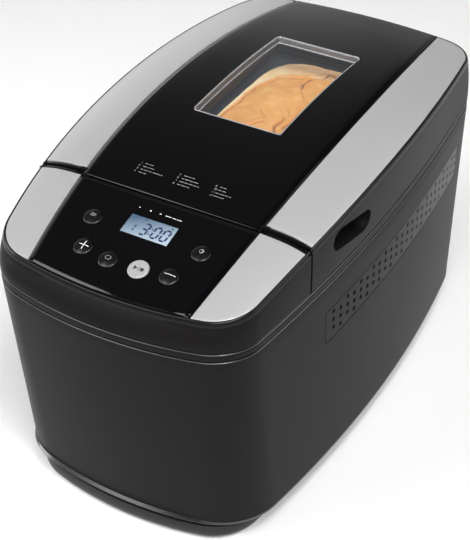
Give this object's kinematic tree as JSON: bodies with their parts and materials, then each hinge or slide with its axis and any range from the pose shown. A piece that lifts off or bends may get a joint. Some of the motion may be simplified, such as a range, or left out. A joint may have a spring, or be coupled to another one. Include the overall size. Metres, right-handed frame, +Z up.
{
  "type": "bread machine",
  "caption": "Countertop bread machine: barrel-sided body, front control panel with round buttons, rear-hinged windowed lid, long lift-out pan with driven kneading blades.",
  "frame": {"origin": "middle of the footprint, on the surface the machine stands on", "axes": "+Z up, -Y towards the control panel, +X to the user's right when facing the panel"},
  "size_m": [0.23, 0.4116, 0.2444],
  "materials": {
    "body_plastic": "fine satin texture",
    "dark_plastic": "smooth satin",
    "gloss_black": "high gloss",
    "satin_metal": "satin silver",
    "button_black": "semi gloss",
    "button_silver": "satin silver paint",
    "display_lens": "blue-grey liquid-crystal window",
    "clear_window": "clear",
    "rubber": "matt",
    "seal_silicone": "matt grey silicone",
    "sheet_steel": "aluminised sheet",
    "shaft_steel": "ground",
    "cast_alloy": "die cast",
    "pan_coating": "dark non-stick coating",
    "bronze": "sintered",
    "circuit_board": "solder mask",
    "ceramic_white": "steatite",
    "element_alloy": "oxidised"
  },
  "bodies": {
    "machine": {"outer_body": "body_plastic", "base_plinth": "dark_plastic", "rubber_feet": "rubber", "case_screws": "shaft_steel", "upper_housing": "dark_plastic", "control_fascia": "gloss_black", "trim_front_left": "satin_metal", "trim_front_right": "satin_metal", "lcd_lens": "display_lens", "lcd_module": "circuit_board", "control_board": "circuit_board", "tact_switches": "dark_plastic", "power_board": "circuit_board", "vent_grille_left": "body_plastic", "vent_grille_right": "body_plastic", "chassis_plate": "sheet_steel", "baking_chamber": "sheet_steel", "pan_seat": "sheet_steel", "heating_element": "element_alloy", "element_supports": "sheet_steel", "element_terminals": "ceramic_white", "temperature_sensor": "shaft_steel", "motor": "cast_alloy", "drive_belt": "rubber", "link_belt": "rubber", "bearing_housings": "cast_alloy", "bearing_bushes": "bronze", "hinge_pins": "shaft_steel", "cord_gland": "rubber"},
    "lid": {"lid_shell": "body_plastic", "lid_panel": "gloss_black", "trim_lid_left": "satin_metal", "trim_lid_right": "satin_metal", "window_frame": "dark_plastic", "window_glass": "clear_window", "lid_liner": "sheet_steel", "inner_glass": "clear_window", "lid_seal": "seal_silicone"},
    "pan": {"bread_pan": "pan_coating", "pan_bushes": "bronze"},
    "handle": {"pan_handle": "shaft_steel"},
    "kneader_front": {"spindle_front": "shaft_steel", "blade_front": "pan_coating"},
    "kneader_rear": {"spindle_rear": "shaft_steel", "blade_rear": "pan_coating"},
    "drive_front": {"shaft_front": "shaft_steel", "drive_pulley": "dark_plastic", "link_pulley_front": "dark_plastic", "drive_dog_front": "cast_alloy"},
    "drive_rear": {"shaft_rear": "shaft_steel", "link_pulley_rear": "dark_plastic", "drive_dog_rear": "cast_alloy"},
    "motor_rotor": {"motor_pulley": "shaft_steel"},
    "key_menu": {"button_menu": "button_black"},
    "key_plus": {"button_plus": "button_black"},
    "key_loaf": {"button_loaf": "button_black"},
    "key_start": {"button_start": "button_silver"},
    "key_minus": {"button_minus": "button_black"},
    "key_color": {"button_color": "button_black"}
  },
  "joints": [
    {"name": "lid_hinge", "type": "hinge", "parent": "machine", "child": "lid", "pos_m": [0, 0.2012, 0.196], "axis": [-1, 0, 0], "range_deg": [0, 95]},
    {"name": "pan_lift", "type": "slide", "parent": "machine", "child": "pan", "axis": [0, 0, 1], "range_m": [0, 0.012]},
    {"name": "handle_swing", "type": "hinge", "parent": "pan", "child": "handle", "pos_m": [0, 0.045, 0.17], "axis": [-1, 0, 0], "range_deg": [0, 7]},
    {"name": "drive_spin", "type": "hinge", "parent": "machine", "child": "drive_front", "pos_m": [0, -0.007, 0.03], "axis": [0, 0, 1], "continuous": true},
    {"name": "drive_rear_spin", "type": "hinge", "parent": "machine", "child": "drive_rear", "pos_m": [0, 0.097, 0.03], "axis": [0, 0, 1], "continuous": true},
    {"name": "motor_spin", "type": "hinge", "parent": "machine", "child": "motor_rotor", "pos_m": [0, -0.142, 0.03], "axis": [0, 0, 1], "continuous": true},
    {"name": "kneader_front_spin", "type": "hinge", "parent": "pan", "child": "kneader_front", "pos_m": [0, -0.007, 0.08], "axis": [0, 0, 1], "continuous": true},
    {"name": "kneader_rear_spin", "type": "hinge", "parent": "pan", "child": "kneader_rear", "pos_m": [0, 0.097, 0.08], "axis": [0, 0, 1], "continuous": true},
    {"name": "key_menu_press", "type": "slide", "parent": "machine", "child": "key_menu", "axis": [0, 0.2437, -0.9699], "range_m": [0, 0.001], "stiffness_N_per_m": 600, "springref_m": -0.0005},
    {"name": "key_plus_press", "type": "slide", "parent": "machine", "child": "key_plus", "axis": [0, 0.2783, -0.9605], "range_m": [0, 0.001], "stiffness_N_per_m": 600, "springref_m": -0.0005},
    {"name": "key_loaf_press", "type": "slide", "parent": "machine", "child": "key_loaf", "axis": [0, 0.2783, -0.9605], "range_m": [0, 0.001], "stiffness_N_per_m": 600, "springref_m": -0.0005},
    {"name": "key_start_press", "type": "slide", "parent": "machine", "child": "key_start", "axis": [0, 0.2783, -0.9605], "range_m": [0, 0.001], "stiffness_N_per_m": 600, "springref_m": -0.0005},
    {"name": "key_minus_press", "type": "slide", "parent": "machine", "child": "key_minus", "axis": [0, 0.2783, -0.9605], "range_m": [0, 0.001], "stiffness_N_per_m": 600, "springref_m": -0.0005},
    {"name": "key_color_press", "type": "slide", "parent": "machine", "child": "key_color", "axis": [0, 0.2437, -0.9699], "range_m": [0, 0.001], "stiffness_N_per_m": 600, "springref_m": -0.0005}
  ],
  "couplings": [
    {"joint": "drive_rear_spin", "follows": "drive_spin", "ratio": 1},
    {"joint": "motor_spin", "follows": "drive_spin", "ratio": 4},
    {"joint": "kneader_front_spin", "follows": "drive_spin", "ratio": 1},
    {"joint": "kneader_rear_spin", "follows": "drive_spin", "ratio": 1}
  ]
}
